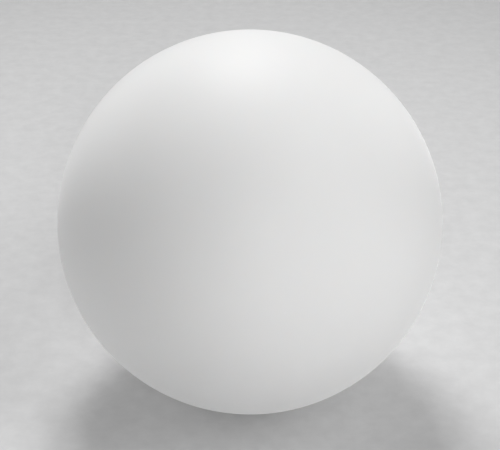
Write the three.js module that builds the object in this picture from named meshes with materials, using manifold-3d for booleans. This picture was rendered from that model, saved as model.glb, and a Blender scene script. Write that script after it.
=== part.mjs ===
// Cue ball for a pool table whose ball return picks the cue ball out with a magnet.
// It is a solid ball of cast resin: a filled core with twelve iron slugs set into it, hung on a
// pin in a round mould, with the white playing cover cast around it and ground true.
// Millimetres, +Z up, origin at the ball's centre, the pin at the lowest point.

import * as THREE from "three";
import { mergeVertices } from "three/addons/utils/BufferGeometryUtils.js";
import Module from "manifold-3d";

const wasm = await Module();
wasm.setup();

// Driving dimensions.
const ballDiameter = 57.15; // 2 1/4 inch, the regulation size
const coverThickness = 4;
const slugDiameter = 6;
const slugLength = 4;
const slugChamfer = 0.5;
const drillPointAngle = 118; // degrees, across the point of the drill that makes the pockets
const pinDiameter = 5;
const pinDepthInCore = 7.5;
const pinTipChamfer = 0.8;
const pinGrooveDepth = 0.45; // ring grooves that key the cast cover to the pin
const pinGrooveWidth = 1.2;
const pinGroovePlaces = [0.3, 0.7]; // shares of the cover's thickness, from the inside
const bondLine = 0.3; // the thin space between two bonded pieces

// How finely the round faces are drawn. An odd detail puts a corner on each axis, so the
// ball measures its full diameter along all three.
const coverDetail = 13;
const cavityDetail = 7;
const slugSides = 16;
const pinSides = 24;
const pinEndSteps = 3;
const cutOverrun = 1; // how far a cutter runs out past the surface that it opens

// Sizes that follow from them.
const ballRadius = ballDiameter / 2;
const cavityRadius = ballRadius - coverThickness;
const coreRadius = cavityRadius - bondLine;
const slugRadius = slugDiameter / 2;
const pinRadius = pinDiameter / 2;
const pinTip = coreRadius - pinDepthInCore;

// A plain even ball has a gyration radius squared of 2/5 R squared. The slugs sit where their
// own weight has that same value, so the iron makes the ball heavier and not harder to turn.
const evenBallGyration = 0.4 * ballRadius ** 2;
const slugOwnGyration = (slugRadius ** 2 + slugLength ** 2 / 6) / 3;
const slugOrbit = Math.sqrt(1.5 * (evenBallGyration - slugOwnGyration));

const coverResin = new THREE.MeshStandardMaterial({ color: 0xe9e9e7, roughness: 0.42 });
const pinResin = new THREE.MeshStandardMaterial({ color: 0xe3e2dd, roughness: 0.45 });
const coreResin = new THREE.MeshStandardMaterial({ color: 0xc9c3b4, roughness: 0.7 });
const softIron = new THREE.MeshStandardMaterial({ color: 0x7d7f82, roughness: 0.4, metalness: 1 });

// A closed three.js geometry as a solid that can be cut.
function toSolid(geometry) {
  const bare = geometry.clone();
  bare.deleteAttribute("normal");
  bare.deleteAttribute("uv");
  const welded = mergeVertices(bare, 1e-4);
  const mesh = new wasm.Mesh({
    numProp: 3,
    vertProperties: welded.attributes.position.array,
    triVerts: new Uint32Array(welded.index.array),
  });
  return new wasm.Manifold(mesh);
}

function toGeometry(solid) {
  const mesh = solid.getMesh();
  const geometry = new THREE.BufferGeometry();
  geometry.setAttribute("position", new THREE.BufferAttribute(mesh.vertProperties, 3));
  geometry.setIndex(new THREE.BufferAttribute(mesh.triVerts, 1));
  geometry.computeVertexNormals();
  return geometry;
}

function piece(name, geometry, material) {
  const mesh = new THREE.Mesh(geometry, material);
  mesh.name = name;
  return mesh;
}

// A round solid about +Y, from its side view: points of [radius, height], lowest end first.
function turnedSolid(sideView, sides) {
  const points = sideView.map(([radius, height]) => new THREE.Vector2(radius, height));
  return new THREE.LatheGeometry(points, sides);
}

// The twelve corners of an icosahedron: the most even spread of twelve points on a ball, so
// whichever way the ball lies, one slug is within 38 degrees of the magnet.
function slugDirections() {
  const golden = (1 + Math.sqrt(5)) / 2;
  const directions = [];
  for (const firstAxis of [0, 1, 2]) {
    for (const side of [-1, 1]) {
      for (const end of [-1, 1]) {
        const corner = [0, side, end * golden];
        const inOrder = corner.map((_, axis) => corner[(axis + firstAxis) % 3]);
        directions.push(new THREE.Vector3(...inOrder).normalize());
      }
    }
  }
  return directions;
}

// Stands a turned solid on the sphere of the slugs' centres, its axis pointing straight out.
function slugPlacement(direction) {
  const turnedAxis = new THREE.Vector3(0, 1, 0);
  return new THREE.Matrix4().compose(
    direction.clone().multiplyScalar(slugOrbit),
    new THREE.Quaternion().setFromUnitVectors(turnedAxis, direction),
    new THREE.Vector3(1, 1, 1),
  );
}

// A short length of soft iron bar with both ends chamfered, centred on its own middle.
function slugGeometry() {
  const half = slugLength / 2;
  const faceRadius = slugRadius - slugChamfer;
  const sideView = [
    [0, -half],
    [faceRadius, -half],
    [slugRadius, -half + slugChamfer],
    [slugRadius, half - slugChamfer],
    [faceRadius, half],
    [0, half],
  ];
  return turnedSolid(sideView, slugSides);
}

// The drilled pocket for one slug: the drill's point leaves a shallow cone under the slug.
function pocketGeometry() {
  const radius = slugRadius + bondLine;
  const floor = -slugLength / 2 - bondLine;
  const pointDepth = radius / Math.tan(THREE.MathUtils.degToRad(drillPointAngle / 2));
  const mouth = coreRadius - slugOrbit + cutOverrun;
  const sideView = [
    [0, floor - pointDepth],
    [radius, floor],
    [radius, mouth],
    [0, mouth],
  ];
  return turnedSolid(sideView, slugSides);
}

// The pin's side view from its tip in the core to just short of its outer end, with `space`
// more all round.
function pinSideView(space) {
  const radius = pinRadius + space;
  const tip = pinTip - space;
  const sideView = [
    [0, tip],
    [radius - pinTipChamfer, tip],
    [radius, tip + pinTipChamfer],
  ];
  for (const place of pinGroovePlaces) {
    const middle = cavityRadius + place * coverThickness;
    sideView.push(
      [radius, middle - pinGrooveWidth / 2],
      [radius - pinGrooveDepth, middle],
      [radius, middle + pinGrooveWidth / 2],
    );
  }
  return sideView;
}

// The pin points down, and its outer end is ground to the ball's own curve.
function pinGeometry() {
  const sideView = pinSideView(0);
  for (let step = 0; step <= pinEndSteps; step += 1) {
    const radius = pinRadius * (1 - step / pinEndSteps);
    sideView.push([radius, Math.sqrt(ballRadius ** 2 - radius ** 2)]);
  }
  return turnedSolid(sideView, pinSides).rotateX(-Math.PI / 2);
}

// The room that the pin takes in the core and the cover.
function pinRoom() {
  const sideView = pinSideView(bondLine);
  const mouth = ballRadius + cutOverrun;
  sideView.push([pinRadius + bondLine, mouth], [0, mouth]);
  return toSolid(turnedSolid(sideView, pinSides).rotateX(-Math.PI / 2));
}

// The white outer casting: a hollow ball with one round hole at the bottom for the pin.
function coverGeometry() {
  const outside = toSolid(new THREE.IcosahedronGeometry(ballRadius, coverDetail));
  const inside = toSolid(new THREE.IcosahedronGeometry(cavityRadius, cavityDetail));
  return toGeometry(outside.subtract(inside).subtract(pinRoom()));
}

// The inner casting, drilled for the slugs and for the pin.
function coreGeometry() {
  let core = toSolid(new THREE.IcosahedronGeometry(coreRadius, cavityDetail));
  for (const direction of slugDirections()) {
    const pocket = pocketGeometry().applyMatrix4(slugPlacement(direction));
    core = core.subtract(toSolid(pocket));
  }
  return toGeometry(core.subtract(pinRoom()));
}

const ball = new THREE.Group();
ball.add(piece("cover", coverGeometry(), coverResin));
ball.add(piece("core", coreGeometry(), coreResin));
ball.add(piece("locating_pin", pinGeometry(), pinResin));
slugDirections().forEach((direction, index) => {
  const number = String(index + 1).padStart(2, "0");
  const slug = piece(`iron_slug_${number}`, slugGeometry(), softIron);
  slug.applyMatrix4(slugPlacement(direction));
  ball.add(slug);
});

export default ball;
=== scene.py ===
# A plain white cue ball with iron slugs for a magnetic ball return, standing on a pale sweep.
# Metres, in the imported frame: the middle of the ball is the origin and +Z is up.
import math
import bmesh
import bpy
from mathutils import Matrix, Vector


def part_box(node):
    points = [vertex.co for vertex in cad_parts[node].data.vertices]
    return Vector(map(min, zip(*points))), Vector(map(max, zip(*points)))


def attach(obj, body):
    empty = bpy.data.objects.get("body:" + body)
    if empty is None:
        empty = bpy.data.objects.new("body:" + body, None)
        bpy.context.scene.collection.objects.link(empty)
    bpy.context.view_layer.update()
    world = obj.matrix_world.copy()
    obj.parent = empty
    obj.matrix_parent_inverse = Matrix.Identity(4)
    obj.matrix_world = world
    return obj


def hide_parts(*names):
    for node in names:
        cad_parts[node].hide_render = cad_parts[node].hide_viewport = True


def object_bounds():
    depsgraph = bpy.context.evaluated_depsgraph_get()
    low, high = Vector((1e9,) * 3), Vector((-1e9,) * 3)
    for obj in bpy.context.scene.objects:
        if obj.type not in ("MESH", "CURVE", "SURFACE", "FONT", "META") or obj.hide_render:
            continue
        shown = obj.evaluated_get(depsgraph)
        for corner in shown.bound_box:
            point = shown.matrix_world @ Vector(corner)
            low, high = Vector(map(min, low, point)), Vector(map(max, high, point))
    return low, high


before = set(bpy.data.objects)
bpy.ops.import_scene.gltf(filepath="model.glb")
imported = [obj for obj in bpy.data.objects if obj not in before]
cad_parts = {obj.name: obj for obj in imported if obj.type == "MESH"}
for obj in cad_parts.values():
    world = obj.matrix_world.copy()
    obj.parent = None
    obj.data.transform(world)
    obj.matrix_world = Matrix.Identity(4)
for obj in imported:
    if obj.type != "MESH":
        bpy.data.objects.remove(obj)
cadLow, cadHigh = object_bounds()

mm = 0.001
down = Vector((0, 0, -1))
crispCorner = 30  # degrees: an edge that turns more than this stays crisp
axisSlack = 0.0001 * mm  # a point this near the axis is on it
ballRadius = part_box("cover")[1].z
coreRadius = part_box("core")[1].z
coverCorners = [vertex.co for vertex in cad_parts["cover"].data.vertices]
cavityRadius = min(corner.length for corner in coverCorners if corner.z > 0)
slugNodes = sorted(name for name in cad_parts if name.startswith("iron_slug"))
print("frame loaded: a", round(2 * ballRadius / mm, 2), "mm ball with", len(slugNodes), "slugs")


def measureTurned(nodeName, axis):
    # lowest and highest point of a turned CAD piece along its own axis, and its radius
    corners = [vertex.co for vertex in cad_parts[nodeName].data.vertices]
    heights = [corner.dot(axis) for corner in corners]
    radius = max((corner - axis * height).length for corner, height in zip(corners, heights))
    return min(heights), max(heights), radius


pinTip, _, pinRadius = measureTurned("locating_pin", down)
slugAxes = [sum(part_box(name), Vector()).normalized() for name in slugNodes]
slugFoot, slugHead, slugRadius = measureTurned(slugNodes[0], slugAxes[0])


def arcPoints(radius, startDegrees, endDegrees, steps, centre=(0, 0)):
    # side-view points (distance from the axis, height) round a circle, 0 degrees level
    points = []
    for step in range(steps + 1):
        angle = math.radians(startDegrees + (endDegrees - startDegrees) * step / steps)
        points.append((centre[0] + radius * math.cos(angle), centre[1] + radius * math.sin(angle)))
    return points


def spinOutline(name, outline, steps, crisp=crispCorner):
    # turns side-view points into a solid of revolution about +Z; an end on the axis closes it
    mesh = bmesh.new()
    rings = []
    for across, height in outline:
        onAxis = across < axisSlack
        width = 0 if onAxis else across
        ring = []
        for step in range(1 if onAxis else steps):
            angle = 2 * math.pi * step / steps
            ring.append(mesh.verts.new((width * math.cos(angle), width * math.sin(angle), height)))
        rings.append(ring)
    for lower, upper in zip(rings, rings[1:]):
        for step in range(steps):
            following = (step + 1) % steps
            corners = [lower[step % len(lower)], lower[following % len(lower)],
                       upper[following % len(upper)], upper[step % len(upper)]]
            mesh.faces.new(list(dict.fromkeys(corners)))  # three corners where a ring is one point
    bmesh.ops.recalc_face_normals(mesh, faces=mesh.faces)
    data = bpy.data.meshes.new(name)
    mesh.to_mesh(data)
    mesh.free()
    piece = bpy.data.objects.new(name, data)
    bpy.context.scene.collection.objects.link(piece)
    smoothPiece(piece, crisp)
    return piece


def smoothPiece(piece, crisp=crispCorner):
    piece.data.shade_smooth()
    piece.data.set_sharp_from_angle(angle=math.radians(crisp))


def dress(piece, finish, slotName, *nodeNames):
    # gives a piece its finish and hands it to the frame
    piece.data.materials.clear()
    piece.data.materials.append(finish)
    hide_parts(*nodeNames)
    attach(piece, "root")


def newFinish(name):
    finish = bpy.data.materials.new(name)
    finish.use_nodes = True
    return finish, finish.node_tree, finish.node_tree.nodes["Principled BSDF"]


def ownPlace(tree):
    return tree.nodes.new("ShaderNodeTexCoord").outputs["Object"]


def noise(tree, place, size, detail, roughness):
    # soft random pattern: how large its features are, how many finer layers, how strong they are
    node = tree.nodes.new("ShaderNodeTexNoise")
    node.inputs["Scale"].default_value = 1 / size
    node.inputs["Detail"].default_value = detail
    node.inputs["Roughness"].default_value = roughness
    tree.links.new(place, node.inputs["Vector"])
    return node.outputs["Fac"]


def grains(tree, place, size):
    # cells about `size` across: how far each point is from the middle of its cell
    node = tree.nodes.new("ShaderNodeTexVoronoi")
    node.inputs["Scale"].default_value = 1 / size
    tree.links.new(place, node.inputs["Vector"])
    return node.outputs["Distance"]


def stretched(tree, place, scale):
    node = tree.nodes.new("ShaderNodeVectorMath")
    node.operation = "MULTIPLY"
    node.inputs[1].default_value = scale
    tree.links.new(place, node.inputs[0])
    return node.outputs["Vector"]


def remap(tree, value, fromRange, toRange):
    node = tree.nodes.new("ShaderNodeMapRange")
    for socket, number in zip(("From Min", "From Max", "To Min", "To Max"), (*fromRange, *toRange)):
        node.inputs[socket].default_value = number
    tree.links.new(value, node.inputs["Value"])
    return node.outputs["Result"]


noiseRange = (0.3, 0.7)  # a noise pattern stays within this nearly everywhere


def fullRange(tree, pattern, toRange=(0, 1)):
    # spreads a noise pattern over all of toRange
    return remap(tree, pattern, noiseRange, toRange)


def calculate(tree, operation, first, second=0):
    node = tree.nodes.new("ShaderNodeMath")
    node.operation = operation
    for socket, value in zip(node.inputs, (first, second)):
        if isinstance(value, (int, float)):
            socket.default_value = value
        else:
            tree.links.new(value, socket)
    return node.outputs["Value"]


mixColours, mixResult = (6, 7), 2  # where the Mix node keeps its colours among its sockets


def blendColours(tree, amount, first, second):
    node = tree.nodes.new("ShaderNodeMix")
    node.data_type = "RGBA"
    tree.links.new(amount, node.inputs["Factor"])
    for number, colour in zip(mixColours, (first, second)):
        if isinstance(colour, tuple):
            node.inputs[number].default_value = (*colour, 1)
        else:
            tree.links.new(colour, node.inputs[number])
    return node.outputs[mixResult]


def relief(tree, shader, height, depth, under=None):
    # raises the surface by up to `depth` where height is 1
    node = tree.nodes.new("ShaderNodeBump")
    node.inputs["Strength"].default_value = 1
    node.inputs["Distance"].default_value = depth
    tree.links.new(height, node.inputs["Height"])
    if under is not None:
        tree.links.new(under, node.inputs["Normal"])
    tree.links.new(node.outputs["Normal"], shader.inputs["Normal"])
    return node.outputs["Normal"]


# cast white resin of the cover and the pin, ground true and left satin;
# a pattern is (size of its features, finer layers, their strength)
resinLook = {
    "clouds": (16 * mm, 4, 0.5),
    "speckTone": (0.80, 0.80, 0.785),
    "speckCell": 2.6 * mm,
    "speckSize": 0.022,  # share of a cell
    "satin": (0.56, 0.60),  # roughness from the glossiest haze to the dullest
    "haze": (7 * mm, 5, 0.6),
    "scuffs": (9 * mm, 6, 0.65),
    "scuffLength": (1, 1, 14),  # scuffs run round the ball, so they are squeezed up and down
    "scuffFrom": (0.60, 0.70),  # where in the pattern a scuff begins and is full
    "scuffSatin": 0.05,
    "peel": (1.3 * mm, 2, 0.5),
    "peelDepth": 0.0016 * mm,
    "grind": (0.16 * mm, 2, 0.5),
    "grindDepth": 0.0007 * mm,
    "bendOfLight": 1.5,
    "bloom": 0.4,  # the pale haze that a ground face shows at a low angle
    "bloomSpread": 0.5,
    "bleed": 0.9 * mm,  # how far light wanders inside the resin
    "bleedShare": 0.12,
    "bleedTones": (1.0, 0.82, 0.7),
}


def resinFinish(name, tones):
    finish, tree, shader = newFinish(name)
    place = ownPlace(tree)
    white = blendColours(tree, fullRange(tree, noise(tree, place, *resinLook["clouds"])), *tones)
    speckDistance = grains(tree, place, resinLook["speckCell"])
    speck = calculate(tree, "LESS_THAN", speckDistance, resinLook["speckSize"])
    specked = blendColours(tree, speck, white, resinLook["speckTone"])
    tree.links.new(specked, shader.inputs["Base Color"])

    haze = fullRange(tree, noise(tree, place, *resinLook["haze"]), resinLook["satin"])
    streaks = noise(tree, stretched(tree, place, resinLook["scuffLength"]), *resinLook["scuffs"])
    scuffs = remap(tree, streaks, resinLook["scuffFrom"], (0, resinLook["scuffSatin"]))
    tree.links.new(calculate(tree, "ADD", haze, scuffs), shader.inputs["Roughness"])
    peel = relief(tree, shader, noise(tree, place, *resinLook["peel"]), resinLook["peelDepth"])
    grind = noise(tree, place, *resinLook["grind"])
    relief(tree, shader, grind, resinLook["grindDepth"], under=peel)

    shader.inputs["IOR"].default_value = resinLook["bendOfLight"]
    shader.inputs["Sheen Weight"].default_value = resinLook["bloom"]
    shader.inputs["Sheen Roughness"].default_value = resinLook["bloomSpread"]
    shader.inputs["Subsurface Weight"].default_value = resinLook["bleedShare"]
    shader.inputs["Subsurface Scale"].default_value = resinLook["bleed"]
    shader.inputs["Subsurface Radius"].default_value = resinLook["bleedTones"]
    return finish


# ground flush with the cover at its outer end, with two grooves that the cover's resin fills
pinLook = {
    "stepsAround": 128,
    "tones": ((0.820, 0.818, 0.806), (0.838, 0.836, 0.824)),
    "grooves": (0.3, 0.7),  # shares of the cover's thickness, from the inside
    "grooveDepth": 0.45 * mm,
    "grooveWidth": 1.2 * mm,
    "grooveSteps": 8,  # from the middle of a groove to its edge
    "tipRound": 0.8 * mm,
    "tipSteps": 8,
    "endSteps": 10,
}


def pinSide(spare):
    # side view of the pin from inside to outside, `spare` larger all round
    radius = pinRadius + spare
    tipRound = pinLook["tipRound"]
    tip = pinTip - spare
    side = [(0, tip)]
    side += arcPoints(tipRound, -90, 0, pinLook["tipSteps"], (radius - tipRound, tip + tipRound))
    steps = pinLook["grooveSteps"]
    for share in pinLook["grooves"]:
        middle = cavityRadius + share * (ballRadius - cavityRadius)
        for step in range(-steps, steps + 1):
            dip = pinLook["grooveDepth"] * (1 + math.cos(math.pi * step / steps)) / 2
            side.append((radius - dip, middle + pinLook["grooveWidth"] / 2 * step / steps))
    return side


def flipDown(outline):
    return [(across, -height) for across, height in outline]


def makePin():
    endDegrees = math.degrees(math.acos(pinRadius / ballRadius))
    outline = pinSide(0) + arcPoints(ballRadius, endDegrees, 90, pinLook["endSteps"])
    piece = spinOutline("moulding_pin", flipDown(outline), pinLook["stepsAround"])
    dress(piece, resinFinish("pinResin", pinLook["tones"]), "pin_resin", "locating_pin")


coverLook = {
    "stepsAround": 288,
    "stepsOutside": 160,
    "stepsInside": 72,
    "seam": 0.03 * mm,  # hairline between the cover and the pin
    "tones": ((0.842, 0.842, 0.838), (0.858, 0.858, 0.854)),
}


def makeCover():
    seam = coverLook["seam"]
    lip = pinRadius + seam
    outerDegrees = math.degrees(math.acos(lip / ballRadius))
    innerDegrees = math.degrees(math.acos(lip / cavityRadius))
    wall = [point for point in pinSide(seam) if point[1] > cavityRadius]
    outside = arcPoints(ballRadius, -90, outerDegrees, coverLook["stepsOutside"])
    inside = arcPoints(cavityRadius, innerDegrees, -90, coverLook["stepsInside"])
    outline = outside + wall[::-1] + inside
    piece = spinOutline("playing_cover", flipDown(outline), coverLook["stepsAround"])
    dress(piece, resinFinish("coverResin", coverLook["tones"]), "cover_resin", "cover")


makeCover()
makePin()
print("white cover and pin made")

# mineral-filled resin, cast in a mould of two halves and drilled
coreLook = {
    "stepsAround": 192,
    "stepsUp": 44,  # from the parting line to a pole
    "partingHeight": 0.06 * mm,  # the line that the mould's halves leave round the middle
    "partingWidth": 0.5 * mm,
    "partingSteps": 6,
    "fit": 0.3 * mm,  # room round each slug and the pin
    "drillPoint": 118,  # degrees
    "drillSides": 64,
    "drillTravel": 2 * mm,  # past the core's surface
    "weld": 0.003 * mm,  # corners closer than this after drilling are joined
    "tones": ((0.50, 0.46, 0.38), (0.63, 0.59, 0.50)),
    "clouds": (6 * mm, 5, 0.5),
    "grainTone": (0.34, 0.31, 0.26),
    "grainSize": 0.7 * mm,
    "grainEdge": (0.10, 0.32),  # where a grain fades out, as shares of a cell
    "grainCover": 0.75,
    "matt": (0.62, 0.80),
    "mattPatches": (1.5 * mm, 4, 0.5),
    "castSkin": (0.5 * mm, 4, 0.5),
    "castDepth": 0.03 * mm,
}


def castOutline():
    # side view of the core from the bottom to the top, with the parting line standing proud
    half = math.degrees(coreLook["partingWidth"] / 2 / coreRadius)
    steps = coreLook["partingSteps"]
    ridge = []
    for step in range(-steps + 1, steps):
        angle = math.radians(half * step / steps)
        radius = coreRadius + coreLook["partingHeight"] * (1 + math.cos(math.pi * step / steps)) / 2
        ridge.append((radius * math.cos(angle), radius * math.sin(angle)))
    lower = arcPoints(coreRadius, -90, -half, coreLook["stepsUp"])
    return lower + ridge + flipDown(lower)[::-1]


def drillCutter(name, axis, floor, radius):
    # a drill's shape from its point below `floor` out past the core
    pointDepth = radius / math.tan(math.radians(coreLook["drillPoint"] / 2))
    mouth = coreRadius + coreLook["drillTravel"]
    outline = [(0, floor - pointDepth), (radius, floor), (radius, mouth), (0, mouth)]
    cutter = spinOutline(name, outline, coreLook["drillSides"])
    cutter.rotation_euler = axis.to_track_quat("Z", "Y").to_euler()
    return cutter


def cutAway(piece, cutters):
    # takes the cutters' shapes out of the piece and throws them away
    for cutter in cutters:
        cut = piece.modifiers.new("cut", "BOOLEAN")
        cut.operation = "DIFFERENCE"
        cut.solver = "EXACT"
        cut.object = cutter
    view = bpy.context.evaluated_depsgraph_get()
    mesh = bmesh.new()
    mesh.from_object(piece, view)
    bmesh.ops.remove_doubles(mesh, verts=mesh.verts, dist=coreLook["weld"])
    bmesh.ops.dissolve_degenerate(mesh, edges=mesh.edges, dist=coreLook["weld"])
    manySided = [face for face in mesh.faces if len(face.verts) > 4]
    bmesh.ops.triangulate(mesh, faces=manySided)
    piece.modifiers.clear()
    mesh.to_mesh(piece.data)
    mesh.free()
    for cutter in cutters:
        bpy.data.objects.remove(cutter)


def coreFinish():
    finish, tree, shader = newFinish("coreResin")
    place = ownPlace(tree)
    clouds = fullRange(tree, noise(tree, place, *coreLook["clouds"]))
    body = blendColours(tree, clouds, *coreLook["tones"])
    distance = grains(tree, place, coreLook["grainSize"])
    filler = remap(tree, distance, coreLook["grainEdge"], (coreLook["grainCover"], 0))
    filled = blendColours(tree, filler, body, coreLook["grainTone"])
    tree.links.new(filled, shader.inputs["Base Color"])
    matt = fullRange(tree, noise(tree, place, *coreLook["mattPatches"]), coreLook["matt"])
    tree.links.new(matt, shader.inputs["Roughness"])
    cast = relief(tree, shader, noise(tree, place, *coreLook["castSkin"]), coreLook["castDepth"])
    relief(tree, shader, distance, coreLook["castDepth"], under=cast)
    return finish


def makeCore():
    piece = spinOutline("cast_core", castOutline(), coreLook["stepsAround"])
    fit = coreLook["fit"]
    cutters = [drillCutter("drill", axis, slugFoot - fit, slugRadius + fit) for axis in slugAxes]
    cutters.append(drillCutter("pinDrill", down, pinTip, pinRadius + fit))
    cutAway(piece, cutters)
    smoothPiece(piece)
    dress(piece, coreFinish(), "core_resin", "core")


makeCore()
print("drilled core made")

# soft-iron bar, turned and parted off on a lathe
slugLook = {
    "stepsAround": 72,
    "crispCorner": 20,
    "chamfer": 0.5 * mm,
    "edgeRound": 0.08 * mm,
    "edgeDrop": 0.25,  # how far the rounding falls away at the chamfer, as a share of its width
    "nibFoot": 0.9 * mm,  # the stub that parting off leaves in the middle of one end
    "nibRadius": 0.45 * mm,
    "nibTip": 0.315 * mm,
    "nibHeight": 0.12 * mm,
    "toolMarks": (0.11 * mm, 2, 0.6),
    "markDepth": 0.006 * mm,
    "tones": ((0.36, 0.355, 0.35), (0.50, 0.495, 0.49)),
    "oxideTone": (0.16, 0.11, 0.08),
    "oxideSpots": (1.2 * mm, 6, 0.65),
    "oxideFrom": (0.54, 0.72),  # where in the pattern the oxide begins and is full
    "oxideCover": 0.8,
    "oxideDullness": 0.4,
    "dullness": (0.28, 0.44),
}


def alongTool(tree, place):
    # distance from the bar's axis and height along it, so that a pattern runs round the bar
    split = tree.nodes.new("ShaderNodeSeparateXYZ")
    tree.links.new(place, split.inputs["Vector"])
    acrossX, acrossY = split.outputs["X"], split.outputs["Y"]
    squareX = calculate(tree, "MULTIPLY", acrossX, acrossX)
    squareY = calculate(tree, "MULTIPLY", acrossY, acrossY)
    fromAxis = calculate(tree, "SQRT", calculate(tree, "ADD", squareX, squareY))
    joined = tree.nodes.new("ShaderNodeCombineXYZ")
    tree.links.new(fromAxis, joined.inputs["X"])
    tree.links.new(split.outputs["Z"], joined.inputs["Y"])
    return joined.outputs["Vector"]


def ironFinish():
    finish, tree, shader = newFinish("softIron")
    place = ownPlace(tree)
    marks = noise(tree, alongTool(tree, place), *slugLook["toolMarks"])
    bright = blendColours(tree, fullRange(tree, marks), *slugLook["tones"])
    spots = noise(tree, place, *slugLook["oxideSpots"])
    oxide = remap(tree, spots, slugLook["oxideFrom"], (0, slugLook["oxideCover"]))
    spotted = blendColours(tree, oxide, bright, slugLook["oxideTone"])
    tree.links.new(spotted, shader.inputs["Base Color"])
    dull = fullRange(tree, marks, slugLook["dullness"])
    spotDull = calculate(tree, "MULTIPLY", oxide, slugLook["oxideDullness"])
    tree.links.new(calculate(tree, "ADD", dull, spotDull), shader.inputs["Roughness"])
    relief(tree, shader, marks, slugLook["markDepth"])
    shader.inputs["Metallic"].default_value = 1
    return finish


def slugOutline():
    # side view from the faced foot to the parted head
    half = (slugHead - slugFoot) / 2
    chamfer, edge = slugLook["chamfer"], slugLook["edgeRound"]
    drop = edge * slugLook["edgeDrop"]
    outer = slugRadius
    foot = [(0, -half), (outer - chamfer - edge, -half), (outer - chamfer, -half + drop)]
    side = [(outer - drop, -half + chamfer), (outer, -half + chamfer + edge)]
    side += flipDown(side)[::-1]
    head = [(outer - chamfer, half - drop), (outer - chamfer - edge, half)]
    dish = half - slugLook["nibHeight"]  # the parted end is hollow round its stub
    head += [(slugLook["nibFoot"], dish), (slugLook["nibRadius"], dish)]
    head += [(slugLook["nibTip"], half), (0, half)]
    return foot + side + head


def makeSlugs():
    finish = ironFinish()
    middle = (slugHead + slugFoot) / 2
    for number, (nodeName, axis) in enumerate(zip(slugNodes, slugAxes), start=1):
        name = f"bar_slug_{number:02d}"
        piece = spinOutline(name, slugOutline(), slugLook["stepsAround"], slugLook["crispCorner"])
        piece.location = axis * middle
        piece.rotation_euler = axis.to_track_quat("Z", "Y").to_euler()
        dress(piece, finish, "soft_iron", nodeName)


makeSlugs()
print(len(slugNodes), "iron slugs made")

# plain pale paper that rises all round, far from the ball
sweepLook = {
    "flatRadius": 1.0,
    "bend": 0.4,
    "bendSteps": 16,
    "height": 1.3,
    "stepsAround": 96,
    "tones": ((0.62, 0.62, 0.622), (0.68, 0.68, 0.682)),
    "fibres": (3 * mm, 6, 0.6),
    "matt": 0.9,
}


def makeSweep():
    flatRadius, bend = sweepLook["flatRadius"], sweepLook["bend"]
    outline = [(0, 0)] + arcPoints(bend, -90, 0, sweepLook["bendSteps"], (flatRadius, bend))
    outline.append((flatRadius + bend, sweepLook["height"]))
    piece = spinOutline("pale_sweep", outline, sweepLook["stepsAround"])
    piece.location.z = cadLow.z
    finish, tree, shader = newFinish("sweepPaper")
    fibres = fullRange(tree, noise(tree, ownPlace(tree), *sweepLook["fibres"]))
    tree.links.new(blendColours(tree, fibres, *sweepLook["tones"]), shader.inputs["Base Color"])
    shader.inputs["Roughness"].default_value = sweepLook["matt"]
    piece.data.materials.append(finish)


makeSweep()

# around: degrees from the camera towards the right; up: degrees above the ball's middle
softboxes = {
    "right": dict(around=58, up=32, away=0.54, wide=0.16, high=0.70, watts=0.56),
    "over": dict(around=187.5, up=58.5, away=0.36, wide=0.12, high=0.17, watts=0.36),
    "front": dict(around=7.5, up=24.75, away=0.54, wide=0.13, high=0.15, watts=0.44),
    "leftBehind": dict(around=232.5, up=16.5, away=0.78, wide=1.08, high=0.43, watts=1.14),
    "rightBehind": dict(around=128.5, up=12.75, away=0.70, wide=1.00, high=0.15, watts=0.37),
}
studio = {
    "boxSpread": 120,  # degrees, so that the low boxes leave the paper beneath them alone
    "airLight": 0.063,  # the faint light that comes from all round
    "airTone": (1, 1, 1),
}


def directionOf(around, up):
    # from the ball's middle, in the angles that the softboxes are given in
    around, up = math.radians(around), math.radians(up)
    return Vector((math.sin(around) * math.cos(up), -math.cos(around) * math.cos(up), math.sin(up)))


def makeSoftbox(name, box):
    lamp = bpy.data.lights.new(name, "AREA")
    lamp.shape = "RECTANGLE"
    lamp.size, lamp.size_y = box["wide"], box["high"]
    lamp.energy = box["watts"]
    lamp.spread = math.radians(studio["boxSpread"])
    holder = bpy.data.objects.new(name, lamp)
    outward = directionOf(box["around"], box["up"])
    holder.location = outward * box["away"]
    holder.rotation_euler = outward.to_track_quat("Z", "Y").to_euler()
    holder.visible_camera = False
    bpy.context.scene.collection.objects.link(holder)


def makeAir():
    world = bpy.data.worlds.new("studioAir")
    world.use_nodes = True
    background = world.node_tree.nodes["Background"]
    background.inputs["Color"].default_value = (*studio["airTone"], 1)
    background.inputs["Strength"].default_value = studio["airLight"]
    bpy.context.scene.world = world


for name, box in softboxes.items():
    makeSoftbox(name, box)
makeAir()
print("sweep and", len(softboxes), "softboxes set up")

camera = {
    "up": 27.5,  # degrees above level
    "lens": 100,
    "sensor": 36,
    "ballShare": 0.385,  # the ball's radius as a share of the picture's width
    "lift": 0.006,  # how far the ball stands above the middle, as a share of the width
    "nearest": 5 * mm,
    "viewTransform": "Standard",
}


def makeCamera():
    lens = bpy.data.cameras.new("camera")
    lens.lens, lens.sensor_width = camera["lens"], camera["sensor"]
    lens.clip_start = camera["nearest"]
    reach = camera["lens"] / camera["sensor"]
    distance = ballRadius * math.hypot(1, reach / camera["ballShare"])
    up = math.radians(camera["up"])
    back = Vector((0, -math.cos(up), math.sin(up)))
    pictureUp = Vector((0, math.sin(up), math.cos(up)))
    holder = bpy.data.objects.new("camera", lens)
    holder.location = back * distance - pictureUp * (camera["lift"] * distance / reach)
    holder.rotation_euler = back.to_track_quat("Z", "Y").to_euler()
    bpy.context.scene.collection.objects.link(holder)
    bpy.context.scene.camera = holder


makeCamera()
bpy.context.scene.view_settings.view_transform = camera["viewTransform"]
print("camera set")
